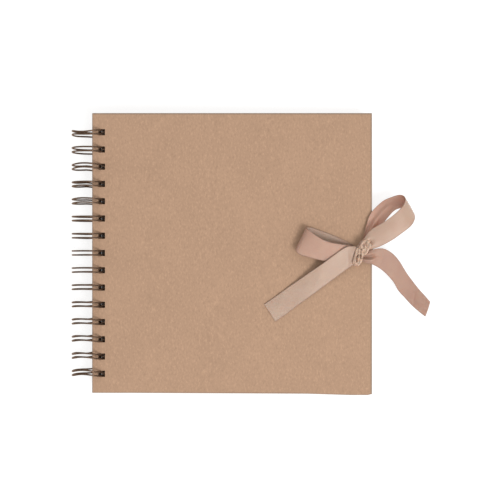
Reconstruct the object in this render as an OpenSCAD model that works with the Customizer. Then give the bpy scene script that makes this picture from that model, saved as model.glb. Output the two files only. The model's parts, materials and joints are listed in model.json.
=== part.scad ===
// Wire-bound kraft scrapbook album, 8 x 8 inch, closed with a satin ribbon bow at its fore edge.
// The album frame has its origin on the centre line of the wire loops, +X towards the fore edge,
// +Y along the spine and +Z out of the front cover. lying() then sets the closed album on a table:
// it rests on the wire loops and on the fore edge of its back cover.

/* [Covers] */
// Width of each cover, from spine edge to fore edge
cover_w = 206; // [180:1:230]
// Height of each cover, along the spine
cover_h = 206; // [200:1:230]
// Thickness of the greyboard core
board_t = 2; // [1.5:0.1:2.5]
// Thickness of the kraft covering paper
wrap_t = 0.15; // [0.1:0.05:0.2]
// Width of the covering paper turned in over the inner face
turn_in = 15; // [14:1:20]
// Thickness of the card liner on the inner face
liner_t = 0.4; // [0.35:0.05:0.5]
// Distance from the liner's edges to the cover's edges
liner_inset = 3; // [2:0.5:4]

/* [Pages] */
// Distance from one page to the next
page_pitch = 0.35; // [0.3:0.01:0.4]
// Air gap between neighbouring pages
page_gap = 0.02; // [0.02:0.01:0.05]
// Distance from the pages' spine edge to the covers' spine edge
page_inset = 1; // [0.5:0.1:1.5]
// Distance from the pages' other edges to the covers' edges
page_trim = 2; // [1:0.5:3]

/* [Binding] */
// Distance from one twin loop to the next
loop_pitch = 12.7; // [12.5:0.1:13]
// Outer diameter of the loops
loop_od = 25.4; // [25:0.1:26]
// Diameter of the wire
wire_d = 1.2; // [1:0.1:1.2]
// Distance between the two wires of a twin loop, centre to centre
twin_gap = 3; // [2.8:0.1:3.2]
// Distance from the loops' centre line to the covers' spine edge
spine_gap = 3.4; // [3.3:0.1:3.4]
// Distance from the covers' spine edge to the punched holes
hole_margin = 4.6; // [4.3:0.1:4.6]
// Width of a punched hole, across the spine
hole_w = 4.9; // [4.9:0.1:5.5]
// Height of a punched hole, along the spine
hole_h = 4.6; // [4.5:0.1:5]

/* [Ribbon] */
// Width of the satin ribbon
ribbon_w = 16; // [14:1:16]
// Thickness of the satin ribbon
ribbon_t = 0.25; // [0.2:0.05:0.25]
// Length of ribbon glued under each liner
glued_l = 20; // [15:1:40]

/* [Hidden] */
PAGES = 20;
LOOPS = 15;
KRAFT = "#bb9a7f";
KRAFT_PALE = "#c4a58a";
GREYBOARD = "#8f8a83";
BRONZE = "#4a403a";
SATIN = "#cbae9f";

function page_name(i) = str("page_", i < 10 ? "0" : "", i);

// Heights of the closed stack, measured from its middle
cover_t = board_t + 2 * wrap_t + liner_t;
stack_t = PAGES * page_pitch + page_gap;
back_page_z = page_gap - stack_t / 2;
face_z = stack_t / 2 + cover_t;

// Plan places, measured from the loops' centre line
fore_x = spine_gap + cover_w;
hole_x = spine_gap + hole_margin;
page_x = spine_gap + page_inset;
page_w = cover_w - page_inset - page_trim;
page_h = cover_h - 2 * page_trim;

// The loops' circle, and the seam where they close behind the back cover
loop_r = (loop_od - wire_d) / 2;
bend_r = 1;
seam_angle = -52;
tip_angle = seam_angle - 10.5;
stub_l = 1.5;

// The closed album leans so that its loops and the back cover's fore edge both touch the table
lean = asin((loop_od / 2 - face_z) / fore_x);
tail_reach = 44.66;
middle_x = (fore_x + tail_reach - loop_od / 2) / 2;

// Slack that keeps neighbouring solids from touching
touch_gap = 0.03;

// The inner face of the covering paper, and the floor of the liner's relief for a glued ribbon end
wrap_inner_z = face_z - board_t - 2 * wrap_t;
relief_z = wrap_inner_z - ribbon_t - 2 * touch_gap;
relief_gap = 0.2;
glued_x = fore_x - liner_inset - glued_l;

function loop_y(i) = (i - (LOOPS - 1) / 2) * loop_pitch;

module lying() {
    translate([-middle_x, 0, loop_od / 2]) rotate([0, lean, 0]) children();
}

// ---- Covers ----

// The punched holes, as a comb of square columns
module hole_columns() {
    for (i = [0:LOOPS - 1])
        translate([hole_x, loop_y(i) - hole_h / 2, -2 * face_z]) cube([hole_w, hole_h, 4 * face_z]);
}

// A slab of the cover's outline, drawn in by inset on every side, from z0 upwards
module cover_slab(inset, z0, t) {
    translate([spine_gap + inset, inset - cover_h / 2, z0])
        cube([cover_w - 2 * inset, cover_h - 2 * inset, t]);
}

// A cover lies with its outer face at face_z; the back cover is the front cover upside down
module as_back() {
    mirror([0, 0, 1]) children();
}

module cover_board() {
    color(GREYBOARD) difference() {
        cover_slab(wrap_t, face_z - wrap_t - board_t, board_t);
        hole_columns();
    }
}

module cover_wrap() {
    wrap_h = board_t + 2 * wrap_t;
    color(KRAFT) difference() {
        cover_slab(0, face_z - wrap_h, wrap_h);
        cover_slab(wrap_t, face_z - wrap_t - board_t, board_t);
        cover_slab(turn_in, face_z - 2 * wrap_h, 2 * wrap_h - wrap_t - board_t / 2);
        hole_columns();
    }
}

// The liner covers the turned-in paper and fills the middle up to the board; the ribbon's glued end
// lies in a relief at its fore edge
module cover_liner() {
    liner_z = face_z - cover_t;
    color(KRAFT_PALE) difference() {
        union() {
            cover_slab(liner_inset, liner_z, liner_t);
            cover_slab(turn_in, liner_z, liner_t + wrap_t);
        }
        hole_columns();
        translate([glued_x - relief_gap, -ribbon_w / 2 - relief_gap, relief_z])
            cube([glued_l + liner_inset, ribbon_w + 2 * relief_gap, 2 * liner_t]);
    }
}

// ---- Pages ----

module page(i) {
    z0 = back_page_z + (PAGES - i) * page_pitch;
    color(i % 2 == 0 ? KRAFT : KRAFT_PALE) difference() {
        translate([page_x, -page_h / 2, z0]) cube([page_w, page_h, page_pitch - page_gap]);
        hole_columns();
    }
}

// ---- Binding wire ----

// Stands children on the loops' circle: X outwards, Z along the circle
module on_circle(angle) {
    rotate([0, -angle, 0]) translate([loop_r, 0, 0]) children();
}

// A bend of the wire in the plane of Y and Z, from angle a through sweep
module wire_bend(r, a, sweep) {
    rotate([0, 90, 0]) rotate([0, 0, a]) rotate_extrude(angle = sweep, $fn = 48)
        translate([r, 0]) circle(d = wire_d, $fn = 24);
}

// A straight wire along Y
module wire_bar(y0, l) {
    translate([0, y0, 0]) rotate([-90, 0, 0]) cylinder(d = wire_d, h = l, $fn = 24);
}

// Two wires round the circle, joined by a round tip where they close
module twin_loop() {
    for (side = [-1, 1])
        translate([0, side * twin_gap / 2, 0]) rotate([90, 0, 0]) rotate([0, 0, seam_angle])
            rotate_extrude(angle = 360 + tip_angle - seam_angle, $fn = 96)
                translate([loop_r, 0]) circle(d = wire_d, $fn = 24);
    on_circle(tip_angle) wire_bend(twin_gap / 2, 90, 180);
    on_circle(seam_angle) {
        translate([0, twin_gap / 2 + bend_r, 0]) wire_bend(bend_r, 270, 90);
        translate([0, -twin_gap / 2 - bend_r, 0]) wire_bend(bend_r, 0, 90);
    }
}

module twin_loop_wire() {
    bar_y = twin_gap / 2 + bend_r;
    color(BRONZE) {
        for (i = [0:LOOPS - 1]) translate([0, loop_y(i), 0]) twin_loop();
        on_circle(seam_angle) translate([0, 0, -bend_r]) {
            for (i = [0:LOOPS - 2]) wire_bar(loop_y(i) + bar_y, loop_pitch - 2 * bar_y);
            wire_bar(loop_y(LOOPS - 1) + bar_y, stub_l);
            wire_bar(loop_y(0) - bar_y - stub_l, stub_l);
        }
    }
}

// ---- Ribbon ----
// A ribbon's two edges are lists of points chosen by hand. Their X is measured from the fore edge,
// Y from the middle of the cover and Z from the front cover's outer face.

// A smooth curve through points, with steps spans between each two
function point_at(p, i) = p[max(0, min(len(p) - 1, i))];
function spline(a, b, c, d, t) =
    (2 * b + (c - a) * t + (2 * a - 5 * b + 4 * c - d) * t * t + (3 * b - a - 3 * c + d) * t * t * t) / 2;
function smooth(p, steps) = concat(
    [for (i = [0:len(p) - 2], k = [0:steps - 1])
        spline(point_at(p, i - 1), p[i], p[i + 1], point_at(p, i + 2), k / steps)],
    [p[len(p) - 1]]);
function unit(v) = v / norm(v);

// A strip between two edge curves, ribbon_t thick, as one closed solid. Its two faces are split along
// the same diagonals, so they stay apart where the ribbon twists.
module ribbon(edge_a, edge_b, steps = 4) {
    a = smooth(edge_a, steps);
    b = smooth(edge_b, steps);
    n = len(a);
    along = [for (i = [0:n - 1])
        (a[min(i + 1, n - 1)] + b[min(i + 1, n - 1)] - a[max(i - 1, 0)] - b[max(i - 1, 0)]) / 2];
    half = [for (i = [0:n - 1]) unit(cross(along[i], b[i] - a[i])) * ribbon_t / 2];
    points = [for (i = [0:n - 1]) each [a[i] + half[i], b[i] + half[i], b[i] - half[i], a[i] - half[i]]];
    span = [[0, 1, 4], [1, 5, 4], [1, 2, 5], [2, 6, 5], [2, 3, 7], [2, 7, 6], [3, 0, 7], [0, 4, 7]];
    sides = [for (i = [0:n - 2], face = span) [for (k = face) 4 * i + k]];
    ends = [[3, 2, 1, 0], [4 * n - 4, 4 * n - 3, 4 * n - 2, 4 * n - 1]];
    color(SATIN) translate([fore_x, 0, face_z]) polyhedron(points, concat(sides, ends));
}

left_loop_far = [
    [-11.5, 3, 1.9], [-16, 7, 1.5], [-24, 11, 0.9], [-34, 15, 0.7], [-43, 18.2, 1.1],
    [-47.6, 19.2, 3.2], [-48.4, 18.4, 6.2], [-46, 16, 8.8], [-40, 11.5, 10], [-32.5, 8, 9.5],
    [-25, 6.6, 7.6], [-18, 5.6, 5.2], [-11.8, 3.6, 3.6]];
left_loop_near = [
    [-11.8, -3, 1.2], [-19, -5, 0.8], [-29, -3.2, 0.6], [-39, 0.2, 0.6], [-48.5, 3.2, 1],
    [-54.6, 4, 2.8], [-56.4, 2.6, 5], [-54.4, -0.6, 7], [-46, -3.4, 7.2], [-38.5, -5.2, 5.6],
    [-29.5, -7, 4.1], [-21, -7.6, 2.6], [-12, -4, 2.5]];
right_loop_far = [
    [-9.5, 4, 1.7], [-6.8, 10.4, 2.3], [-4.6, 20, 1.9], [-0.8, 29.6, 1.2], [7.6, 37.8, -0.8],
    [14.6, 41.2, -1.8], [20.6, 42.8, 0], [23.4, 41, 3.6], [23, 37.6, 8], [20, 33, 10.2],
    [14, 27.4, 10.4], [7.2, 22.4, 9], [-1, 17.4, 6.6], [-7, 10, 4.4], [-9.8, 4, 3.8]];
right_loop_near = [
    [-8, 0.5, 1], [-3, 6, 1.6], [3, 14.6, 3.6], [9.2, 24, 5.8], [16.4, 31.6, 5.8], [25, 33, 3.8],
    [29.4, 30.4, 2.4], [30.8, 27.4, 3.2], [30, 23.6, 5.4], [27, 19.4, 7], [20.6, 14.4, 7.6],
    [13.6, 9.4, 6.6], [5.6, 5, 5], [-1, 2.6, 4], [-7.4, 0.8, 3.2]];
left_tail_far = [
    [-11.6, 4.6, 4.6], [-16, 5, 5.8], [-20.6, 4, 7.2], [-28, -1, 7.4], [-36, -7, 6.3],
    [-46, -14.2, 3.4], [-58, -22.6, 1.3], [-70, -31.2, 0.6], [-79.4, -37.8, 0.5]];
left_tail_near = [
    [-11.6, -7, 3.8], [-14.6, -8.8, 3.6], [-20, -12.8, 2.9], [-27.5, -18.4, 2], [-38, -26.2, 1.2],
    [-46.5, -32.6, 0.8], [-55.5, -39.2, 0.6], [-63.5, -45.2, 0.5], [-71, -50.6, 0.4]];
right_tail_far = [
    [-8.2, -0.6, 3.2], [-3, 1.6, 4.6], [3, 3.2, 4.4], [9, 3, 1.8], [15.4, -0.4, -2.4], [21, -6, -6.2],
    [27, -15, -9], [31.6, -21, -10], [36.2, -26.8, -10.4], [40.6, -31.6, -10.6], [44.9, -36.6, -10.5]];
right_tail_near = [
    [-9, -5.4, 2.2], [-4.4, -7.4, 1.9], [0.6, -8.6, 1], [8.4, -13.2, -2.2], [16.2, -20.8, -6.4],
    [20.8, -28, -8.8], [25.6, -33.2, -10], [30, -38, -10.5], [34, -41.8, -10.7], [37.6, -44.8, -10.7],
    [41.2, -47.6, -10.6]];

// The knot's wrap is a plump band across the ribbons it gathers: high in the middle, low at its ends
module bow_knot() {
    place = [fore_x - 9.8, 0.3, face_z];
    turn = -15;
    width = 6.6;
    middle_l = 6;
    middle_h = 3.9;
    end_l = 7.2;
    end_h = 2.6;
    end_d = 3.4;
    color(SATIN) translate(place) rotate([0, 0, turn]) hull() {
        for (y = [-middle_l, 0, middle_l])
            translate([0, y, middle_h]) scale([1, 1, 0.95 - abs(y) / 30]) sphere(d = width, $fn = 24);
        for (y = [-end_l, end_l]) translate([0, y, end_h]) sphere(d = end_d, $fn = 16);
    }
}

// A bent strip seen from the side: points go along its middle, in X and Z
module strip(points) {
    n = len(points);
    side = [for (i = [0:n - 1])
        let (d = unit(points[min(i + 1, n - 1)] - points[max(i - 1, 0)])) [-d[1], d[0]] * ribbon_t / 2];
    outline = concat([for (i = [0:n - 1]) points[i] + side[i]],
        [for (i = [n - 1:-1:0]) points[i] - side[i]]);
    color(SATIN) rotate([90, 0, 0]) linear_extrude(ribbon_w, center = true) polygon(outline);
}

// Points of a round corner about centre c, from angle a to angle b
function corner(c, r, a, b) = [for (k = [0:4]) let (t = a + (b - a) * k / 4) c + r * [cos(t), sin(t)]];

// The leads' and the tab's ends, measured from the fore edge and from the back page's lower face
lead_end = 11;
back_lead_foot = 1.4;
tab_top = 1.1;
tab_bend = 0.65;
tab_out = 0.45;

// From its glued end under the front liner, round the fore edge and back to the knot
module front_ribbon_lead() {
    h = ribbon_t / 2 + touch_gap;
    strip(concat(
        [[glued_x, wrap_inner_z - h]],
        corner([fore_x, wrap_inner_z], h, -90, 0),
        corner([fore_x, face_z], h, 0, 90),
        [[fore_x - lead_end, face_z + h]]));
}

// From the back cover's fore edge, up past the pages and over the front lead to the knot
module back_ribbon_lead() {
    h = 3 * ribbon_t / 2 + 4 * touch_gap;
    strip(concat(
        [[fore_x + h, back_page_z + back_lead_foot]],
        corner([fore_x, face_z], h, 0, 90),
        [[fore_x - lead_end, face_z + h]]));
}

// The back ribbon's glued end: under the back liner, out and turned up at the fore edge
module back_ribbon_tab() {
    z = ribbon_t / 2 + touch_gap - wrap_inner_z;
    strip(concat(
        [[glued_x, z], [fore_x - 0.5, z]],
        corner([fore_x + tab_out - tab_bend, z + tab_bend], tab_bend, -60, 0),
        [[fore_x + tab_out, back_page_z + tab_top]]));
}

// ---- The nodes ----

lying() cover_board();  // front_board
lying() cover_wrap();  // front_wrap
lying() cover_liner();  // front_liner
lying() as_back() cover_board();  // back_board
lying() as_back() cover_wrap();  // back_wrap
lying() as_back() cover_liner();  // back_liner
for (i = [1:PAGES]) lying() page(i);
lying() twin_loop_wire();
lying() front_ribbon_lead();
lying() back_ribbon_lead();
lying() back_ribbon_tab();
lying() bow_knot();
lying() ribbon(left_loop_far, left_loop_near);  // bow_left_loop
lying() ribbon(right_loop_far, right_loop_near);  // bow_right_loop
lying() ribbon(left_tail_far, left_tail_near);  // bow_left_tail
lying() ribbon(right_tail_far, right_tail_near);  // bow_right_tail
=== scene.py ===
import json
import math

import bmesh
import bpy
from mathutils import Matrix, Vector


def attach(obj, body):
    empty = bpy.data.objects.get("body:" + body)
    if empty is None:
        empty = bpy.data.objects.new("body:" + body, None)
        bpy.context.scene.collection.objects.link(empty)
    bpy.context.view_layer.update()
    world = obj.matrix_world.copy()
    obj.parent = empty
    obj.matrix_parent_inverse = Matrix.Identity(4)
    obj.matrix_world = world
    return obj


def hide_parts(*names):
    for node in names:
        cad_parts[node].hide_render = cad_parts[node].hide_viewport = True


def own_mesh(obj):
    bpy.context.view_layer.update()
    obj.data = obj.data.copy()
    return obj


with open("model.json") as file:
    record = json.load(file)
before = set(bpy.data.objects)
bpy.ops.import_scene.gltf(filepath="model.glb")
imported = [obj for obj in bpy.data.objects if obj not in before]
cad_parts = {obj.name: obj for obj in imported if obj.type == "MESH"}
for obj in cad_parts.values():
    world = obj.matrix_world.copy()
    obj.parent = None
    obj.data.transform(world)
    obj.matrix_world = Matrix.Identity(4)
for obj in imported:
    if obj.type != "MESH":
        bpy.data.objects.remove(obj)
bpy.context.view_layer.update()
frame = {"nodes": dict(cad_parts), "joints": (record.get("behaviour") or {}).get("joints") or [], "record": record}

MM = 0.001


# ---- The album's frame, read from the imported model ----

def joint(name):
    return next(j for j in frame["joints"] if j["name"] == name)


def mount(name):
    return next(m for m in frame["record"]["mounts"] if m["name"] == name)


LEAN = math.asin(-mount("back_face")["axis"][0])
ALBUM = (Matrix.Translation(Vector(joint("front_cover_turn")["pos_m"]))
         @ Matrix.Rotation(LEAN, 4, "Y") @ Matrix.Scale(MM, 4))
FROM_ALBUM = ALBUM.inverted()


def album_box(node):
    """A CAD node's lowest and highest corners in the album's frame, in millimetres."""
    points = [FROM_ALBUM @ v.co for v in frame["nodes"][node].data.vertices]
    low = Vector([min(p[k] for p in points) for k in range(3)])
    high = Vector([max(p[k] for p in points) for k in range(3)])
    return low, high


COVER_LOW, COVER_HIGH = album_box("front_wrap")
SPINE_X, FORE_X, FACE_Z = COVER_LOW.x, COVER_HIGH.x, COVER_HIGH.z
COVER_SIZE = (COVER_HIGH.x - COVER_LOW.x, COVER_HIGH.y - COVER_LOW.y)
LINER_FORE_X = album_box("front_liner")[1].x
WIRE_LOW, WIRE_HIGH = album_box("twin_loop_wire")
BACK_PAGE_Z = album_box("page_20")[0].z

# What the album is made to, as in part.scad
LOOPS = 15
LOOP_PITCH = 12.7
WIRE_D = 1.2
TWIN_GAP = 3.0
BEND_R = 1.0
SEAM_ANGLE = -52
TIP_ANGLE = SEAM_ANGLE - 10.5
STUB_L = 1.5
LOOP_R = (WIRE_HIGH.z - WIRE_LOW.z - WIRE_D) / 2
HOLE_X = SPINE_X + 4.6
HOLE_W, HOLE_H = 4.9, 4.6
TURN_IN = 15
RIBBON_W = 16
RIBBON_T = 0.25
GLUED_L = 20
RIBBON_STEPS = 9


# ---- Shader nodes ----

class Shader:
    """A material's nodes, with short calls for the ones used here."""

    def __init__(self, name):
        self.material = bpy.data.materials.new(name)
        self.material.use_nodes = True
        self.tree = self.material.node_tree
        self.bsdf = self.tree.nodes["Principled BSDF"]

    def node(self, kind, links=(), **settings):
        made = self.tree.nodes.new(kind)
        for key, value in settings.items():
            setattr(made, key, value)
        for socket, value in links:
            self.put(made.inputs[socket], value)
        return made

    def put(self, socket, value):
        if isinstance(value, bpy.types.NodeSocket):
            self.tree.links.new(value, socket)
        else:
            socket.default_value = value

    def place(self, scale=(1, 1, 1), turn=0):
        coords = self.node("ShaderNodeTexCoord").outputs["Object"]
        made = self.node("ShaderNodeMapping", [("Vector", coords), ("Scale", scale),
                                               ("Rotation", (0, 0, math.radians(turn)))])
        return made.outputs["Vector"]

    def noise(self, place, scale, detail=4, roughness=0.6):
        made = self.node("ShaderNodeTexNoise", [("Vector", place), ("Scale", scale), ("Detail", detail),
                                                ("Roughness", roughness)])
        return made.outputs["Fac"]

    def ramp(self, value, low, high, out_low=0.0, out_high=1.0):
        made = self.node("ShaderNodeMapRange", [("Value", value), ("From Min", low), ("From Max", high),
                                                ("To Min", out_low), ("To Max", out_high)])
        return made.outputs["Result"]

    def maths(self, operation, a, b=0.0):
        return self.node("ShaderNodeMath", [(0, a), (1, b)], operation=operation).outputs[0]

    def mix(self, share, a, b):
        made = self.node("ShaderNodeMix", data_type="RGBA")
        self.put(made.inputs[0], share)
        self.put(made.inputs[6], (*a, 1) if isinstance(a, tuple) else a)
        self.put(made.inputs[7], (*b, 1) if isinstance(b, tuple) else b)
        return made.outputs[2]

    def bump(self, height, distance, strength=1.0):
        made = self.node("ShaderNodeBump", [("Height", height), ("Distance", distance),
                                            ("Strength", strength)])
        self.put(self.bsdf.inputs["Normal"], made.outputs["Normal"])

    def set(self, **values):
        for name, value in values.items():
            self.put(self.bsdf.inputs[name.replace("_", " ")], value)


def tint(colour, by):
    return tuple(min(1.0, c * by) for c in colour)


# ---- Camera, floor and light ----

CAMERA_HEIGHT = 675
SEEN_WIDTH = 367.9
SENSOR_WIDTH = 36
SEEN_CENTRE = Vector((SPINE_X + 116.2, 2.2, FACE_Z))
SKY_LOW, SKY_HIGH = 0.4, 0.82
FLOOR_HALF = 20
FLOOR_GLOW = 0.78


def aim(obj, place, target):
    """Puts an object at place, with its -Z towards target and its +Y along the spine."""
    back = (place - target).normalized()
    side = Vector((0, 1, 0)).cross(back).normalized()
    turn = Matrix((side, back.cross(side), back)).transposed()
    obj.matrix_world = Matrix.Translation(place) @ turn.to_4x4()


def add_camera():
    """Straight above the front cover, a little left of its middle."""
    data = bpy.data.cameras.new("camera")
    camera = bpy.data.objects.new("camera", data)
    bpy.context.scene.collection.objects.link(camera)
    data.sensor_width = SENSOR_WIDTH
    data.lens = SENSOR_WIDTH * CAMERA_HEIGHT / SEEN_WIDTH
    data.clip_start = 0.01
    aim(camera, ALBUM @ (SEEN_CENTRE + Vector((0, 0, CAMERA_HEIGHT))), ALBUM @ SEEN_CENTRE)
    bpy.context.scene.camera = camera


def add_area_light(name, place, target, size, power):
    data = bpy.data.lights.new(name, "AREA")
    data.shape = "DISK"
    data.size = size
    data.energy = power
    light = bpy.data.objects.new(name, data)
    bpy.context.scene.collection.objects.link(light)
    aim(light, Vector(place), Vector(target))


def add_sky():
    """Soft light from all round, dimmer towards the horizon."""
    world = bpy.data.worlds.new("studio")
    bpy.context.scene.world = world
    world.use_nodes = True
    nodes, links = world.node_tree.nodes, world.node_tree.links
    coords = nodes.new("ShaderNodeTexCoord")
    split = nodes.new("ShaderNodeSeparateXYZ")
    height = nodes.new("ShaderNodeMapRange")
    links.new(coords.outputs["Generated"], split.inputs["Vector"])
    links.new(split.outputs["Z"], height.inputs["Value"])
    height.inputs["From Min"].default_value = 0.05
    height.inputs["From Max"].default_value = 0.75
    height.inputs["To Min"].default_value = SKY_LOW
    height.inputs["To Max"].default_value = SKY_HIGH
    links.new(height.outputs["Result"], nodes["Background"].inputs["Strength"])
    nodes["Background"].inputs["Color"].default_value = (1, 0.995, 0.985, 1)


def floor_glow(s):
    """The floor's emission: full beyond the closed album's outline and none under it."""
    low, high = ALBUM @ Vector((SPINE_X, 0, 0)), ALBUM @ Vector((FORE_X, 0, 0))
    split = s.node("ShaderNodeSeparateXYZ", [("Vector", s.place())])
    off_middle = s.maths("ABSOLUTE", s.maths("SUBTRACT", split.outputs["X"], (low.x + high.x) / 2))
    beyond_x = s.maths("SUBTRACT", off_middle, (high.x - low.x) / 2)
    beyond_y = s.maths("SUBTRACT", s.maths("ABSOLUTE", split.outputs["Y"]), COVER_HIGH.y * MM)
    return s.ramp(s.maths("MAXIMUM", beyond_x, beyond_y), -0.004, -0.001, 0, FLOOR_GLOW)


def add_floor():
    """A white light table, so that the album lies in hardly any shadow."""
    corners = [(x * FLOOR_HALF, y * FLOOR_HALF, 0) for x, y in ((-1, -1), (1, -1), (1, 1), (-1, 1))]
    mesh = bpy.data.meshes.new("floor")
    mesh.from_pydata(corners, [], [(0, 1, 2, 3)])
    floor = bpy.data.objects.new("floor", mesh)
    bpy.context.scene.collection.objects.link(floor)
    s = Shader("floor")
    s.set(Base_Color=(0.32, 0.32, 0.32, 1), Roughness=0.9, Specular_IOR_Level=0,
          Emission_Color=(1, 1, 1, 1), Emission_Strength=floor_glow(s))
    mesh.materials.append(s.material)


def add_studio():
    add_sky()
    add_area_light("key", place=(1.5, -1.5, 2.4), target=(0, 0, 0), size=1.5, power=62)
    add_floor()
    bpy.context.scene.view_settings.view_transform = "Standard"


# ---- Materials ----

KRAFT = (0.43, 0.274, 0.181)
KRAFT_CARD = (0.45, 0.297, 0.197)
LINER_CARD = (0.47, 0.315, 0.212)
# The next colour is painted shade along the covers' rounded edges
EDGE_SHADE_KRAFT = (0.235, 0.17, 0.125)
PULP, PULP_SPECK = ((0.19, 0.135, 0.1), (0.3, 0.222, 0.17)), (0.09, 0.07, 0.06)
BRONZE, RUBBED_BRONZE = ((0.1, 0.062, 0.042), (0.155, 0.1, 0.068)), (0.28, 0.195, 0.132)
SATIN_FACE = ((0.468, 0.322, 0.245), (0.488, 0.351, 0.261))
SATIN_BACK = ((0.398, 0.244, 0.187), (0.422, 0.269, 0.2))
# The last colour on the next line, for the selvedge, is partly its woven edge and partly painted shade along the
# ribbon's edges
SATIN_STREAK, SATIN_RIB, SATIN_SELVEDGE_AND_SHADE = (0.36, 0.22, 0.17), (0.3, 0.18, 0.14), (0.23, 0.145, 0.11)
RIB_MM = 0.32


def edge_shade(s, width, height):
    """Painted shade along a cover's rounded edges: 1 at its outline and 0 further in, less at its spine and lower
    edges.
    The plan UV map holds millimetres from the lower spine corner."""
    uv = s.node("ShaderNodeUVMap", uv_map="plan").outputs["UV"]
    split = s.node("ShaderNodeSeparateXYZ", [("Vector", uv)])
    x, y = split.outputs["X"], split.outputs["Y"]
    spine_and_foot = s.maths("MINIMUM", x, y)
    fore_and_head = s.maths("MINIMUM", s.maths("SUBTRACT", width, x), s.maths("SUBTRACT", height, y))
    # How far in from the outline the painted shade reaches, with the spine and foot counted half a millimetre
    # further in
    shade_reach = s.maths("MINIMUM", s.maths("ADD", spine_and_foot, 0.5), fore_and_head)
    inset = s.maths("MINIMUM", spine_and_foot, fore_and_head)
    return s.maths("MULTIPLY", s.ramp(shade_reach, 0.5, 1.5, 1, 0), s.ramp(inset, 0, 0.12, 0.35, 1))


def paper_material(name, colour, fibre_share=1.0, shaded_edges=None):
    """Uncoated kraft: soft clouds, mottled pulp, short crossed fibres and a few dark flecks.
    The last argument, when given, is a cover's width and height, for painted shade along its rounded edges."""
    s = Shader(name)
    clouds = s.noise(s.place(), 45, 3)
    cast = s.noise(s.place(turn=20), 420, 4)
    mottle = s.noise(s.place(scale=(1, 0.6, 1), turn=75), 780, 3, 0.6)
    fibres = [s.noise(s.place(scale=(1, 0.14, 1), turn=a), 5200, 2, 0.5) for a in (8, 63, 118, 160)]
    first = s.maths("MAXIMUM", fibres[0], fibres[1])
    second = s.maths("MAXIMUM", fibres[2], fibres[3])
    woven = s.maths("MAXIMUM", first, second)
    flecks = s.noise(s.place(scale=(1, 0.3, 1), turn=40), 1500, 2, 0.4)
    base = s.mix(s.ramp(clouds, 0.3, 0.7), tint(colour, 0.955), tint(colour, 1.04))
    base = s.mix(s.ramp(cast, 0.3, 0.75, 0, 0.35), base, tint(colour, 0.86))
    base = s.mix(s.ramp(mottle, 0.54, 0.7, 0, 1), base, tint(colour, 0.85))
    base = s.mix(s.ramp(mottle, 0.46, 0.3, 0, 1), base, tint(colour, 1.15))
    base = s.mix(s.ramp(woven, 0.6, 0.78, 0, 0.45 * fibre_share), base, tint(colour, 1.22))
    base = s.mix(s.ramp(flecks, 0.7, 0.78, 0, 0.5 * fibre_share), base, tint(colour, 0.62))
    # Painted shade along the cover's rounded edges
    if shaded_edges:
        base = s.mix(s.maths("MULTIPLY", edge_shade(s, *shaded_edges), 0.75), base, EDGE_SHADE_KRAFT)
    s.set(Base_Color=base, Roughness=s.ramp(woven, 0.45, 0.8, 0.95, 0.82), Specular_IOR_Level=0.25)
    s.bump(s.maths("ADD", woven, s.maths("MULTIPLY", cast, 0.8)), 0.00004, 0.8)
    return s.material


def board_material():
    """Pressed greyboard, with the layers and specks of recycled pulp."""
    s = Shader("greyboard")
    pulp = s.noise(s.place(scale=(1, 1, 4)), 1600, 5, 0.7)
    specks = s.noise(s.place(), 3200, 2)
    base = s.mix(s.ramp(pulp, 0.3, 0.7), *PULP)
    base = s.mix(s.ramp(specks, 0.62, 0.7, 0, 0.6), base, PULP_SPECK)
    s.set(Base_Color=base, Roughness=s.ramp(pulp, 0.3, 0.7, 0.95, 0.85))
    s.bump(pulp, 0.00008)
    return s.material


def wire_material():
    """Steel wire under a dark bronze coating, a little rubbed."""
    s = Shader("bronze_wire")
    tone = s.noise(s.place(), 160, 3)
    rubs = s.noise(s.place(scale=(1, 0.3, 1)), 900, 4, 0.7)
    base = s.mix(s.ramp(tone, 0.3, 0.7), *BRONZE)
    base = s.mix(s.ramp(rubs, 0.6, 0.75, 0, 0.5), base, RUBBED_BRONZE)
    s.set(Base_Color=base, Roughness=s.ramp(rubs, 0.35, 0.75, 0.42, 0.26), Metallic=0.75,
          Specular_Tint=(0.85, 0.68, 0.56, 1))
    s.bump(rubs, 0.00002, 0.6)
    return s.material


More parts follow.
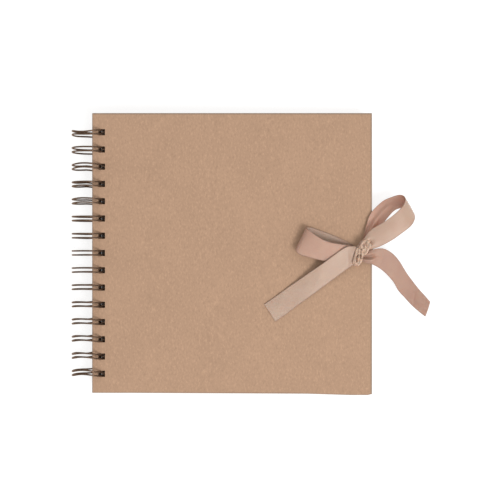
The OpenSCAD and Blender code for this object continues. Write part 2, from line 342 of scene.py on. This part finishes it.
def satin_material(name, shiny_painted_light=1.0, dull_painted_light=1.0):
    """Polyester satin: fine ribs across the ribbon, a smooth shine and a firm woven selvedge.
    Two factors lighten its two faces' colours: painted light, used for the loops and the knot."""
    s = Shader(name)
    uv = s.node("ShaderNodeUVMap", uv_map="along").outputs["UV"]
    split = s.node("ShaderNodeSeparateXYZ", [("Vector", uv)])
    # X runs from 0 to 1 across the satin face and from 2 to 3 across the dull back; Y is in millimetres
    back = s.maths("GREATER_THAN", split.outputs["X"], 1.5)
    across = s.maths("SUBTRACT", split.outputs["X"], s.maths("MULTIPLY", back, 2.0))
    along = split.outputs["Y"]
    edge = s.maths("ABSOLUTE", s.maths("SUBTRACT", across, 0.5))
    selvedge = s.ramp(edge, 0.466, 0.478)
    ribs = s.maths("SINE", s.maths("MULTIPLY", along, 2 * math.pi / RIB_MM))
    picots = s.maths("SINE", s.maths("MULTIPLY", along, math.pi / RIB_MM))
    threads = s.maths("SINE", s.maths("MULTIPLY", across, 2 * math.pi * 70))
    body = s.ramp(s.noise(s.place(), 90, 3), 0.3, 0.7)
    drawn = s.node("ShaderNodeMapping", [("Vector", uv), ("Scale", (30, 0.12, 1))]).outputs["Vector"]
    streaks = s.noise(drawn, 1, 3)
    # The two factors lift each face's colour: painted light
    shiny = s.mix(body, *[tint(colour, shiny_painted_light) for colour in SATIN_FACE])
    dull = s.mix(body, *[tint(colour, dull_painted_light) for colour in SATIN_BACK])
    base = s.mix(back, shiny, dull)
    base = s.mix(s.ramp(streaks, 0.3, 0.75, 0, 0.2), base, SATIN_STREAK)
    base = s.mix(s.ramp(ribs, -1, 1, 0, 0.07), base, SATIN_RIB)
    # Darker dots along the selvedge: partly its real woven edge, partly painted shade along the ribbon's edges
    selvedge_dots_and_shade = s.maths("MULTIPLY", selvedge, s.ramp(picots, -0.2, 0.6, 0.3, 0.75))
    base = s.mix(selvedge_dots_and_shade, base, SATIN_SELVEDGE_AND_SHADE)
    rough = s.maths("ADD", s.ramp(selvedge, 0, 1, 0.42, 0.6), s.maths("MULTIPLY", back, 0.2))
    s.set(Base_Color=base, Roughness=rough, Specular_IOR_Level=0.4, Anisotropic=0.5,
          Sheen_Weight=0.08, Sheen_Roughness=0.35, Sheen_Tint=(1, 0.86, 0.8, 1),
          Subsurface_Weight=0.4, Subsurface_Radius=(1, 0.62, 0.48), Subsurface_Scale=0.0006)
    height = s.maths("ADD", s.maths("MULTIPLY", ribs, 0.35), s.maths("MULTIPLY", threads, 0.15))
    height = s.maths("ADD", height, s.maths("MULTIPLY", selvedge, s.maths("ADD", picots, 1.2)))
    s.bump(height, 0.00003, 0.7)
    return s.material


# ---- Mesh helpers ----

def link_mesh(name, points, faces, material, uvs=None):
    """A new object from points in the album's frame, with a UV pair for each point if given."""
    mesh = bpy.data.meshes.new(name)
    mesh.from_pydata([ALBUM @ Vector(p) for p in points], [], faces)
    mesh.materials.append(material)
    if uvs:
        layer = mesh.uv_layers.new(name="along")
        for loop in mesh.loops:
            layer.data[loop.index].uv = uvs[loop.vertex_index]
    mesh.polygons.foreach_set("use_smooth", [True] * len(mesh.polygons))
    made = bpy.data.objects.new(name, mesh)
    bpy.context.scene.collection.objects.link(made)
    return made


def apply_modifiers(obj):
    done = bpy.data.meshes.new_from_object(obj.evaluated_get(bpy.context.evaluated_depsgraph_get()))
    obj.modifiers.clear()
    obj.data = done
    return obj


def stand_for(obj, body, slot, *nodes):
    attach(obj, body)
    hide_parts(*nodes)
    return obj


def spline(points, steps):
    """The curve of part.scad's ribbons: smooth through points, with steps spans between each two."""
    at = lambda i: Vector(points[max(0, min(len(points) - 1, i))])
    curve = []
    for i in range(len(points) - 1):
        a, b, c, d = at(i - 1), at(i), at(i + 1), at(i + 2)
        for k in range(steps):
            t = k / steps
            curve.append(0.5 * (2 * b + (c - a) * t + (2 * a - 5 * b + 4 * c - d) * t ** 2
                                + (3 * b - a - 3 * c + d) * t ** 3))
    return curve + [at(len(points) - 1)]


def smoothstep(low, high, x):
    t = max(0.0, min(1.0, (x - low) / (high - low)))
    return t * t * (3 - 2 * t)


# ---- Covers ----

WRAP_ROUND = 0.5
CORE_ROUND = 0.3
PUNCH_ROUND = 0.35
HOLE_TALL = 60
# The fold along the front cover's lower edge bulges, and goes back in at the corner: from and to where, in
# millimetres from the spine, and by how much. FOLD_BAND is how much of the paper's width takes part.
BULGE_FROM, BULGE_FULL, BULGE = 138, 190, 1.6
TUCK_FROM, TUCK_FULL, TUCK = 203, 205.5, 0.6
FOLD_BAND = 0.6
BULGE_CUTS = (138, 146, 154, 162, 170, 178, 186, 190, 196, 201, 203, 204.5)


def slab(name, low, high, round_by, material):
    """A box between two corners, with round edges."""
    made = bmesh.new()
    bmesh.ops.create_cube(made, size=1)
    size, middle = high - low, (low + high) / 2
    for v in made.verts:
        v.co = Vector([middle[k] + v.co[k] * size[k] for k in range(3)])
    if round_by:
        bmesh.ops.bevel(made, geom=made.edges[:], offset=round_by, segments=4, profile=0.5, affect="EDGES")
    for v in made.verts:
        v.co = ALBUM @ v.co
    mesh = bpy.data.meshes.new(name)
    made.to_mesh(mesh)
    made.free()
    mesh.materials.append(material)
    obj = bpy.data.objects.new(name, mesh)
    bpy.context.scene.collection.objects.link(obj)
    return obj


def split_across(obj, places):
    """Adds edge loops across an album-frame slab at each X."""
    made = bmesh.new()
    made.from_mesh(obj.data)
    across = ALBUM.to_3x3() @ Vector((1, 0, 0))
    for x in places:
        geometry = made.verts[:] + made.edges[:] + made.faces[:]
        bmesh.ops.bisect_plane(made, geom=geometry, plane_co=ALBUM @ Vector((x, 0, 0)), plane_no=across)
    made.to_mesh(obj.data)
    made.free()


def cut(obj, *cutters):
    for cutter in cutters:
        step = obj.modifiers.new("cut", "BOOLEAN")
        step.operation = "DIFFERENCE"
        step.solver = "EXACT"
        step.object = cutter
    apply_modifiers(obj)
    for cutter in cutters:
        bpy.data.objects.remove(cutter)
    return obj


def loop_y(i):
    return (i - (LOOPS - 1) / 2) * LOOP_PITCH


def hole_cutter(material):
    """Fifteen square columns, with the corners a punch leaves slightly round."""
    made = bmesh.new()
    for i in range(LOOPS):
        cube = bmesh.ops.create_cube(made, size=1)["verts"]
        for v in cube:
            x, y, z = v.co
            v.co = Vector((HOLE_X + HOLE_W * (x + 0.5), loop_y(i) + HOLE_H * y, HOLE_TALL * z))
    upright = [e for e in made.edges if abs(e.verts[0].co.z - e.verts[1].co.z) > 1]
    bmesh.ops.bevel(made, geom=upright, offset=PUNCH_ROUND, segments=3, profile=0.5, affect="EDGES")
    for v in made.verts:
        v.co = ALBUM @ v.co
    mesh = bpy.data.meshes.new("holes")
    made.to_mesh(mesh)
    made.free()
    mesh.materials.append(material)
    obj = bpy.data.objects.new("holes", mesh)
    bpy.context.scene.collection.objects.link(obj)
    return obj


def swell(x):
    """How far the fold stands off the front cover's lower edge, x millimetres from the spine."""
    grown = min(1.0, max(0.0, (x - BULGE_FROM) / (BULGE_FULL - BULGE_FROM)))
    return BULGE * grown - TUCK * smoothstep(TUCK_FROM, TUCK_FULL, x)


def add_plan_uvs(obj, low):
    layer = obj.data.uv_layers.new(name="plan")
    for loop in obj.data.loops:
        place = FROM_ALBUM @ obj.data.vertices[loop.vertex_index].co
        layer.data[loop.index].uv = (place.x - low.x, place.y - low.y)


def cover_wrap(name, side, node, body, material):
    """The covering paper: round at the board's edges and turned in over its inner face.
    side is 1 in front and -1 behind."""
    low, high = album_box(node)
    board_low, board_high = album_box(node.replace("wrap", "board"))
    inner = low.z if side > 0 else high.z
    window_low = Vector((low.x + TURN_IN, low.y + TURN_IN, inner - 1))
    window_high = Vector((high.x - TURN_IN, high.y - TURN_IN, inner + 1))
    paper = slab(name, low, high, WRAP_ROUND, material)
    if side > 0:
        split_across(paper, [SPINE_X + x for x in BULGE_CUTS])
    core = slab("core", board_low, board_high, CORE_ROUND, material)
    window = slab("window", window_low, window_high, 0, material)
    cut(paper, core, window, hole_cutter(material))
    add_plan_uvs(paper, low)
    if side > 0:
        for v in paper.data.vertices:
            place = FROM_ALBUM @ v.co
            if place.y < low.y + FOLD_BAND:
                v.co = ALBUM @ (place - Vector((0, swell(place.x - low.x), 0)))
    paper.data.polygons.foreach_set("use_smooth", [True] * len(paper.data.polygons))
    paper.data.set_sharp_from_angle(angle=math.radians(35))
    normals = paper.modifiers.new("even_shading", "WEIGHTED_NORMAL")
    normals.keep_sharp = True
    return stand_for(paper, body, "kraft_wrap", node)


def dress_cad_nodes():
    """Boards, liners and pages keep their CAD shape and get their materials."""
    board = board_material()
    liner = paper_material("kraft_liner", LINER_CARD, 0.8)
    pages = [paper_material(f"kraft_page_{k}", tint(KRAFT_CARD, 0.97 + 0.03 * k), 0.9) for k in range(3)]
    for name, obj in frame["nodes"].items():
        if name.endswith("_board"):
            look = board
            edge = obj.modifiers.new("worn_edge", "BEVEL")
            edge.width = 0.25 * MM
            edge.segments = 2
            edge.limit_method = "ANGLE"
        elif name.endswith("_liner"):
            look = liner
        elif name.startswith("page_"):
            look = pages[int(name[-2:]) * 7 % 3]
        else:
            continue
        obj.data.materials.clear()
        obj.data.materials.append(look)


# ---- Binding wire ----

BEND_STEPS, LOOP_STEPS, TIP_STEPS = 6, 88, 12
# How far each loop leans along the spine in front and behind, and how far its two strands draw together
# in front, in millimetres, from the bottom loop up
FRONT_LEAN = (1.9, 1.7, 1.45, 1.15, 0.75, 0.55, 0.4, 0.1, 0, 0, 0.65, 0.1, 0.85, 0, -1.1)
BACK_LEAN = (-0.3, -1.1, -0.9, -0.8, -0.6, -0.2, 0, 0.1, -0.2, 0, 0.4, 0.7, 0.6, 0, 0.3)
FRONT_PINCH = (0, 0.1, 0, 0, 0.05, 0, 0, 0, 0, 0.1, 0, 0.15, 0.1, 0, 0.6)
# In degrees round a loop: the middle and half width of the stretch that leans or draws together in front.
# The lean behind starts past where the turned sheets hang and is full by the cover's edge.
LEANS, PINCHES = (100, 69), (110, 78)
BACK_START, BACK_FULL, BACK_FADE = 206, 250, 40


def circle_point(angle, y, along=0.0):
    """A point on the loops' circle, moved along its tangent."""
    c, s = math.cos(angle), math.sin(angle)
    return Vector((LOOP_R * c - along * s, y, LOOP_R * s + along * c))


def hump(angle, middle, half):
    """1 at the middle and 0 from half away on, both in degrees, for an angle in radians."""
    return math.cos(math.pi / 2 * min(1.0, abs(math.degrees(angle) - middle) / half)) ** 2


def slant(angle):
    """The lean's share behind, which grows evenly along X up to the cover's edge."""
    if math.degrees(angle) > BACK_FULL:
        return hump(angle, BACK_FULL, BACK_FADE)
    start, full = math.cos(math.radians(BACK_START)), math.cos(math.radians(BACK_FULL))
    return max(0.0, (math.cos(angle) - start) / (full - start)) if angle > math.pi else 0.0


def stray(i, angle, side):
    """How far a strand of loop i, on the side -1 or 1, stands off its place along the spine."""
    lean = FRONT_LEAN[i] * hump(angle, *LEANS) + BACK_LEAN[i] * slant(angle)
    return lean - side * FRONT_PINCH[i] * hump(angle, *PINCHES)


def wire_path():
    """The wire's centre line from end to end: up one side of each loop, round its tip and back down."""
    seam, tip = math.radians(SEAM_ANGLE), math.radians(360 + TIP_ANGLE)
    half = TWIN_GAP / 2
    bends = [math.pi / 2 * k / BEND_STEPS for k in range(BEND_STEPS + 1)]
    turns = [seam + (tip - seam) * k / LOOP_STEPS for k in range(1, LOOP_STEPS)]
    bend = lambda y, a, side: circle_point(seam, y + side * (half + BEND_R * (1 - math.sin(a))),
                                           -BEND_R * math.cos(a))
    path = [circle_point(seam, loop_y(0) - half - BEND_R - STUB_L, -BEND_R)]
    for i in range(LOOPS):
        y = loop_y(i)
        path += [bend(y, a, -1) for a in bends]
        path += [circle_point(a, y - half + stray(i, a, -1)) for a in turns]
        for k in range(TIP_STEPS + 1):
            a = math.pi * k / TIP_STEPS
            path.append(circle_point(tip, y - half * math.cos(a), half * math.sin(a)))
        path += [circle_point(a, y + half + stray(i, a, 1)) for a in reversed(turns)]
        path += [bend(y, a, 1) for a in reversed(bends)]
    path.append(circle_point(seam, loop_y(LOOPS - 1) + half + BEND_R + STUB_L, -BEND_R))
    return path


def tube(name, path, radius, material, sides=12):
    """A round tube along path, closed at its ends."""
    points, faces = [], []
    normal = None
    for i, p in enumerate(path):
        along = (path[min(i + 1, len(path) - 1)] - path[max(i - 1, 0)]).normalized()
        if normal is None:
            normal = along.orthogonal().normalized()
        normal = (normal - along * normal.dot(along)).normalized()
        other = along.cross(normal)
        for k in range(sides):
            a = 2 * math.pi * k / sides
            points.append(p + radius * (math.cos(a) * normal + math.sin(a) * other))
        if i:
            base = (i - 1) * sides
            for k in range(sides):
                n = (k + 1) % sides
                faces.append((base + k, base + n, base + sides + n, base + sides + k))
    faces.append(tuple(reversed(range(sides))))
    faces.append(tuple(range(len(points) - sides, len(points))))
    return link_mesh(name, points, faces, material)


# ---- Ribbon ----
# Each ribbon's two edges repeat part.scad's points: X from the fore edge, Y from the middle of the
# cover and Z from the front cover's outer face.

LEFT_LOOP_FAR = [
    (-11.5, 3, 1.9), (-16, 7, 1.5), (-24, 11, 0.9), (-34, 15, 0.7), (-43, 18.2, 1.1),
    (-47.6, 19.2, 3.2), (-48.4, 18.4, 6.2), (-46, 16, 8.8), (-40, 11.5, 10), (-32.5, 8, 9.5),
    (-25, 6.6, 7.6), (-18, 5.6, 5.2), (-11.8, 3.6, 3.6)]
LEFT_LOOP_NEAR = [
    (-11.8, -3, 1.2), (-19, -5, 0.8), (-29, -3.2, 0.6), (-39, 0.2, 0.6), (-48.5, 3.2, 1),
    (-54.6, 4, 2.8), (-56.4, 2.6, 5), (-54.4, -0.6, 7), (-46, -3.4, 7.2), (-38.5, -5.2, 5.6),
    (-29.5, -7, 4.1), (-21, -7.6, 2.6), (-12, -4, 2.5)]
RIGHT_LOOP_FAR = [
    (-9.5, 4, 1.7), (-6.8, 10.4, 2.3), (-4.6, 20, 1.9), (-0.8, 29.6, 1.2), (7.6, 37.8, -0.8),
    (14.6, 41.2, -1.8), (20.6, 42.8, 0), (23.4, 41, 3.6), (23, 37.6, 8), (20, 33, 10.2),
    (14, 27.4, 10.4), (7.2, 22.4, 9), (-1, 17.4, 6.6), (-7, 10, 4.4), (-9.8, 4, 3.8)]
RIGHT_LOOP_NEAR = [
    (-8, 0.5, 1), (-3, 6, 1.6), (3, 14.6, 3.6), (9.2, 24, 5.8), (16.4, 31.6, 5.8), (25, 33, 3.8),
    (29.4, 30.4, 2.4), (30.8, 27.4, 3.2), (30, 23.6, 5.4), (27, 19.4, 7), (20.6, 14.4, 7.6),
    (13.6, 9.4, 6.6), (5.6, 5, 5), (-1, 2.6, 4), (-7.4, 0.8, 3.2)]
LEFT_TAIL_FAR = [
    (-11.6, 4.6, 4.6), (-16, 5, 5.8), (-20.6, 4, 7.2), (-28, -1, 7.4), (-36, -7, 6.3),
    (-46, -14.2, 3.4), (-58, -22.6, 1.3), (-70, -31.2, 0.6), (-79.4, -37.8, 0.5)]
LEFT_TAIL_NEAR = [
    (-11.6, -7, 3.8), (-14.6, -8.8, 3.6), (-20, -12.8, 2.9), (-27.5, -18.4, 2), (-38, -26.2, 1.2),
    (-46.5, -32.6, 0.8), (-55.5, -39.2, 0.6), (-63.5, -45.2, 0.5), (-71, -50.6, 0.4)]
RIGHT_TAIL_FAR = [
    (-8.2, -0.6, 3.2), (-3, 1.6, 4.6), (3, 3.2, 4.4), (9, 3, 1.8), (15.4, -0.4, -2.4),
    (21, -6, -6.2), (27, -15, -9), (31.6, -21, -10), (36.2, -26.8, -10.4), (40.6, -31.6, -10.6),
    (44.9, -36.6, -10.5)]
RIGHT_TAIL_NEAR = [
    (-9, -5.4, 2.2), (-4.4, -7.4, 1.9), (0.6, -8.6, 1), (8.4, -13.2, -2.2), (16.2, -20.8, -6.4),
    (20.8, -28, -8.8), (25.6, -33.2, -10), (30, -38, -10.5), (34, -41.8, -10.7),
    (37.6, -44.8, -10.7), (41.2, -47.6, -10.6)]

COLUMNS = 25
SELVEDGE_THICK = 1.35


def ribbon_shares():
    """Where the columns lie across the ribbon: closer together at the selvedges."""
    inner = [k / (COLUMNS - 5) for k in range(COLUMNS - 4)]
    return [0.0, 0.018] + [0.036 + 0.928 * t for t in inner] + [0.982, 1.0]


def gather(share, chord, pleats, pleated):
    """How far the cloth stands off its chord at share of the way across, where it is drawn in to chord.
    Where pleated is 0 it only bows."""
    spare = max(0.0, RIBBON_W / max(chord, 1) - 1)
    bow = 0.2 * chord * min(spare, 0.3) / math.sqrt(min(spare, 0.3) + 0.05)
    folds = chord / (math.pi * pleats) * 2 * math.sqrt(min(spare, 1.0))
    folded = pleated * smoothstep(0.1, 0.55, spare)
    uneven = share + 0.05 * math.sin(2 * math.pi * share + pleats)
    return ((1 - folded) * bow * math.sin(math.pi * share)
            + folded * folds * math.sin(math.pi * pleats * uneven) * math.sin(math.pi * share) ** 0.5)


# Creases: the points each runs through, from the fore edge and the cover's middle, and how deep it is
TAIL_CREASES = [
    ([(-7.4, -3.9), (-4.6, -4.6), (-1.7, -4.7)], 1.9),
    ([(-1.7, -4.7), (2.5, -3.2)], 1.4), ([(2.5, -3.2), (6.4, -1.9)], 0.7)]
KNOT_CREASES = [
    ([(-12.1, -6.6), (-12.4, -4.3), (-11, -1.4)], 3.4), ([(-9.3, -1), (-9.2, -3.5)], 3.2),
    ([(-8, -3.7), (-5.8, -4.2)], 3), ([(-10.4, 4.3), (-8.8, 2.2)], 2.2),
    ([(-11.2, 4.6), (-10.2, 7.2)], 2.4), ([(-7.2, 6.2), (-6.9, 3.5)], 1.6),
    ([(-5.7, 8.9), (-4.8, 5.2)], 1.8), ([(-7, 2.2), (-7.4, -2)], 1),
    ([(-11, 3.2), (-11.7, -0.6)], 0.9), ([(-10.1, -4.3), (-10.8, -7.8)], 1.2),
    ([(-9, 1.2), (-10, -0.8)], 1.1), ([(-3.6, 7.6), (-3.3, 4.4)], 0.9), ([(-5.2, 4), (-5.6, 0.4)], 0.8)]
CREASE_WIDTH = 0.55


def crease_depth(creases, x, y):
    """How deep the cloth is pressed in at a place on the cover."""
    deepest = 0.0
    for points, depth in creases:
        for (x0, y0), (x1, y1) in zip(points, points[1:]):
            dx, dy = x1 - x0, y1 - y0
            t = ((x - x0) * dx + (y - y0) * dy) / (dx * dx + dy * dy)
            t = max(0.0, min(1.0, t))
            gap = math.hypot(x - x0 - t * dx, y - y0 - t * dy)
            deepest = max(deepest, depth * math.exp(-(gap / CREASE_WIDTH) ** 2))
    return deepest


def ribbon(name, far, near, material, steps=RIBBON_STEPS, cup=1.0, pleats=3, creases=(), pleated_to=2.0):
    """A ribbon between two edge curves: cupped where its edges draw in, pleated where they are gathered, as
    far as pleated_to of the way along."""
    a, b = spline(far, steps), spline(near, steps)
    origin = Vector((FORE_X, 0, FACE_Z))
    shares = ribbon_shares()
    tops, unders, uvs = [], [], []
    run = 0.0
    last = None
    n = len(a)
    for i in range(n):
        middle = (a[i] + b[i]) / 2
        run += (middle - last).length if last else 0
        last = middle
        k0, k1 = max(i - 1, 0), min(i + 1, n - 1)
        along = (a[k1] + b[k1] - a[k0] - b[k0]) / 2
        chord = b[i] - a[i]
        out = along.cross(chord).normalized()
        pleated = 1 - smoothstep(pleated_to - 0.15, pleated_to, i / (n - 1))
        for share in shares:
            lift = cup * gather(share, chord.length, pleats, pleated)
            if creases:
                spot = a[i] + chord * share
                lift -= crease_depth(creases, spot.x, spot.y)
            thick = RIBBON_T / 2 * (SELVEDGE_THICK if share < 0.03 or share > 0.97 else 1.0)
            place = origin + a[i] + chord * share + out * lift
            tops.append(place + out * thick)
            unders.append(place - out * thick)
            uvs.append((share, run))
    return sheet_mesh(name, tops, unders, uvs, n, material)


def sheet_mesh(name, tops, unders, uvs, rows, material):
    """A closed thin sheet from the two grids of points on its faces, rows of the same length."""
    wide = len(tops) // rows
    under = len(tops)
    faces = []
    for i in range(rows - 1):
        for k in range(wide - 1):
            p, q = i * wide + k, (i + 1) * wide + k
            faces.append((p, q, q + 1, p + 1))
            faces.append((under + p, under + p + 1, under + q + 1, under + q))
        for k in (0, wide - 1):
            p, q = i * wide + k, (i + 1) * wide + k
            faces.append((p, under + p, under + q, q) if k == 0 else (p, q, under + q, under + p))
    for i in (0, rows - 1):
        for k in range(wide - 1):
            p = i * wide + k
            end = (p, p + 1, under + p + 1, under + p)
            faces.append(end if i == 0 else end[:1] + end[:0:-1])
    return link_mesh(name, tops + unders, faces, material, uvs + [(u + 2, v) for u, v in uvs])


def flatten_when_open(obj):
    """Gives a part of the bow its own copy of its mesh."""
    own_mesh(obj)


def bow_piece(name, node, far, near, held, rests_on, material, **look):
    obj = ribbon(name, far, near, material, **look)
    stand_for(obj, "front_cover", "satin_ribbon", node)
    return obj


BAND_ROWS, BAND_COLUMNS = 121, 61
# In degrees: where the ribbon's own ends meet, and how its cross-section rolls under from edge to edge
BAND_START = 250
ROLL_START, ROLL_SWEEP = -42, 264


def ridge(t, count):
    """Round folds side by side, with a crease between each two."""
    return abs(math.cos(math.pi * count * t)) ** 0.65


def rounded(value):
    """Turns a circle's sine or cosine into that of a rounder-cornered oval."""
    return math.copysign(abs(value) ** 0.75, value)


def wrapped_band(name, centre, turn, half_l, half_h, width, folds, drift, material):
    """A gathered ribbon wound once round the bow. Its edges are rolled under and its folds wander."""
    origin = Vector((FORE_X + centre[0], centre[1], FACE_Z + centre[2]))
    spin = Matrix.Rotation(math.radians(turn), 3, "Z")
    tops, unders, uvs = [], [], []
    run = 0.0
    last = None
    for i in range(BAND_ROWS):
        a = 2 * math.pi * i / (BAND_ROWS - 1) + math.radians(BAND_START)
        c, s = math.cos(a), math.sin(a)
        middle = Vector((0, half_l * rounded(c), half_h * rounded(s)))
        out = Vector((0, c / half_l, s / half_h)).normalized()
        run += (middle - last).length if last else 0
        last = middle
        narrow = width * (1 - 0.2 * smoothstep(0.5, 1.0, abs(c))) / 2
        for k in range(BAND_COLUMNS):
            roll = math.radians(ROLL_START + ROLL_SWEEP * k / (BAND_COLUMNS - 1))
            top = max(0.0, math.sin(roll))
            across = math.cos(roll)
            fold = 0.8 * ridge(across / 2 + drift * c + 0.1 * math.sin(2 * a), folds)
            lift = 0.7 * math.sin(roll) + (fold + 0.15 * math.sin(5 * a + 4 * across)) * top ** 0.5
            sway = 0.35 * math.sin(a + 1)
            place = middle + Vector((across * narrow + sway, 0, 0)) + out * lift
            if s > 0:
                spot = spin @ place
                pressed = crease_depth(KNOT_CREASES, centre[0] + spot.x, centre[1] + spot.y)
                place -= out * pressed * min(1.0, 2 * s) * top ** 0.5
            face = (Vector((across / narrow, 0, 0)) + out * math.sin(roll)).normalized()
            tops.append(origin + spin @ (place + face * RIBBON_T / 2))
            unders.append(origin + spin @ (place - face * RIBBON_T / 2))
            uvs.append((k / (BAND_COLUMNS - 1), run))
    obj = sheet_mesh(name, tops, unders, uvs, BAND_ROWS, material)
    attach(obj, "front_cover")
    return obj


def bow_knot(material):
    wrap = wrapped_band("bow_knot_wrap", centre=(-10.6, -2, 2.9), turn=-14, half_l=6.4, half_h=3.4,
                        width=6.4, folds=2.2, drift=0.3, material=material)
    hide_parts("bow_knot")
    wrapped_band("bow_knot_turn", centre=(-6.6, 4, 3.4), turn=-24, half_l=5.2, half_h=3.1,
                 width=7.4, folds=2.4, drift=-0.25, material=material)


# Where a lead lies flat on the cover up to the knot, in X from the fore edge, and how far the knot draws
# in each of its edges
TO_KNOT = (-4, -8, -11)
KNOT_DRAW_IN = 2.5
# How far above the last page's underside the back lead and the glued tab end
LEAD_STOP, TAB_STOP = 1.4, 1.1
CORNER_STEPS = 8


def corner(centre, radius, first, last):
    turns = [math.radians(first + (last - first) * k / CORNER_STEPS) for k in range(CORNER_STEPS + 1)]
    return [(centre[0] + radius * math.cos(t), centre[1] + radius * math.sin(t)) for t in turns]


def lead(name, node, body, profile, gathered, material):
    """A flat stretch of ribbon that follows profile, in X from the fore edge and Z from the front face.
    gathered gives how far each edge is drawn in, at a profile point's share of the way along."""
    far, near = [], []
    for i, (x, z) in enumerate(profile):
        draw_in = gathered(i / (len(profile) - 1))
        far.append((x, RIBBON_W / 2 - draw_in, z))
        near.append((x, -RIBBON_W / 2 + draw_in, z))
    obj = ribbon(name, far, near, material, steps=2, cup=0.5)
    stand_for(obj, body, "satin_ribbon", node)
    return obj


def add_leads(material):
    gap = 0.03
    h = RIBBON_T / 2 + gap
    wrap_inner = album_box("front_wrap")[0].z - FACE_Z
    glued = LINER_FORE_X - FORE_X - GLUED_L
    to_knot = lambda start: lambda share: KNOT_DRAW_IN * smoothstep(start, 1.0, share)
    front = ([(glued, wrap_inner - h), (glued / 2, wrap_inner - h), (-1, wrap_inner - h)]
             + corner((0, wrap_inner), h, -90, 0) + corner((0, 0), h, 0, 90) + [(x, h) for x in TO_KNOT])
    lead("front_lead_ribbon", "front_ribbon_lead", "front_cover", front, to_knot(0.8),
         material)
    h = 3 * RIBBON_T / 2 + 4 * gap
    foot = BACK_PAGE_Z - FACE_Z + LEAD_STOP
    back = [(h, foot), (h, foot / 2)] + corner((0, 0), h, 0, 90) + [(x, h) for x in TO_KNOT]
    lead("back_lead_ribbon", "back_ribbon_lead", "front_cover", back, to_knot(0.5),
         material)
    h = RIBBON_T / 2 + gap
    inner = album_box("back_wrap")[1].z - FACE_Z
    tab = ([(glued, inner + h), (glued / 2, inner + h), (-0.5, inner + h)]
           + corner((-0.2, inner + h + 0.65), 0.65, -60, 0) + [(0.45, BACK_PAGE_Z - FACE_Z + TAB_STOP)])
    lead("back_tab_ribbon", "back_ribbon_tab", "back_cover", tab, lambda share: 0,
         material)


# ---- The album ----

add_camera()
add_studio()
# The covers' paper gets painted shade along its rounded edges
kraft = paper_material("kraft_wrap", KRAFT, shaded_edges=COVER_SIZE)
satin = satin_material("satin_ribbon")
cover_wrap("front_cover_paper", 1, "front_wrap", "front_cover", kraft)
cover_wrap("back_cover_paper", -1, "back_wrap", "back_cover", kraft)
dress_cad_nodes()
wire = tube("binding_wire_coil", wire_path(), WIRE_D / 2, wire_material())
stand_for(wire, "binding_wire", "bronze_wire", "twin_loop_wire")
add_leads(satin)
cover = ["front_cover_paper"]
# The two loops use copies of the satin that are lighter on their dull backs: painted light
bow_piece("bow_left_loop_ribbon", "bow_left_loop", LEFT_LOOP_FAR, LEFT_LOOP_NEAR, "folded", cover,
          satin_material("satin_ribbon_looped_painted_light", 1.0, 1.18), cup=-1)
bow_piece("bow_right_loop_ribbon", "bow_right_loop", RIGHT_LOOP_FAR, RIGHT_LOOP_NEAR, "folded", cover,
          satin_material("satin_ribbon_painted_through_light", 1.0, 1.36))
bow_piece("bow_left_tail_ribbon", "bow_left_tail", LEFT_TAIL_FAR, LEFT_TAIL_NEAR, "laid", cover, satin)
tail = bow_piece("bow_right_tail_ribbon", "bow_right_tail", RIGHT_TAIL_FAR, RIGHT_TAIL_NEAR, "hung", cover,
                 satin, cup=-1, creases=TAIL_CREASES, pleated_to=0.5)
flatten_when_open(tail)
# The knot's satin is lighter on both faces: painted highlights on its folds
bow_knot(satin_material("satin_ribbon_painted_highlight", 1.2, 1.2))
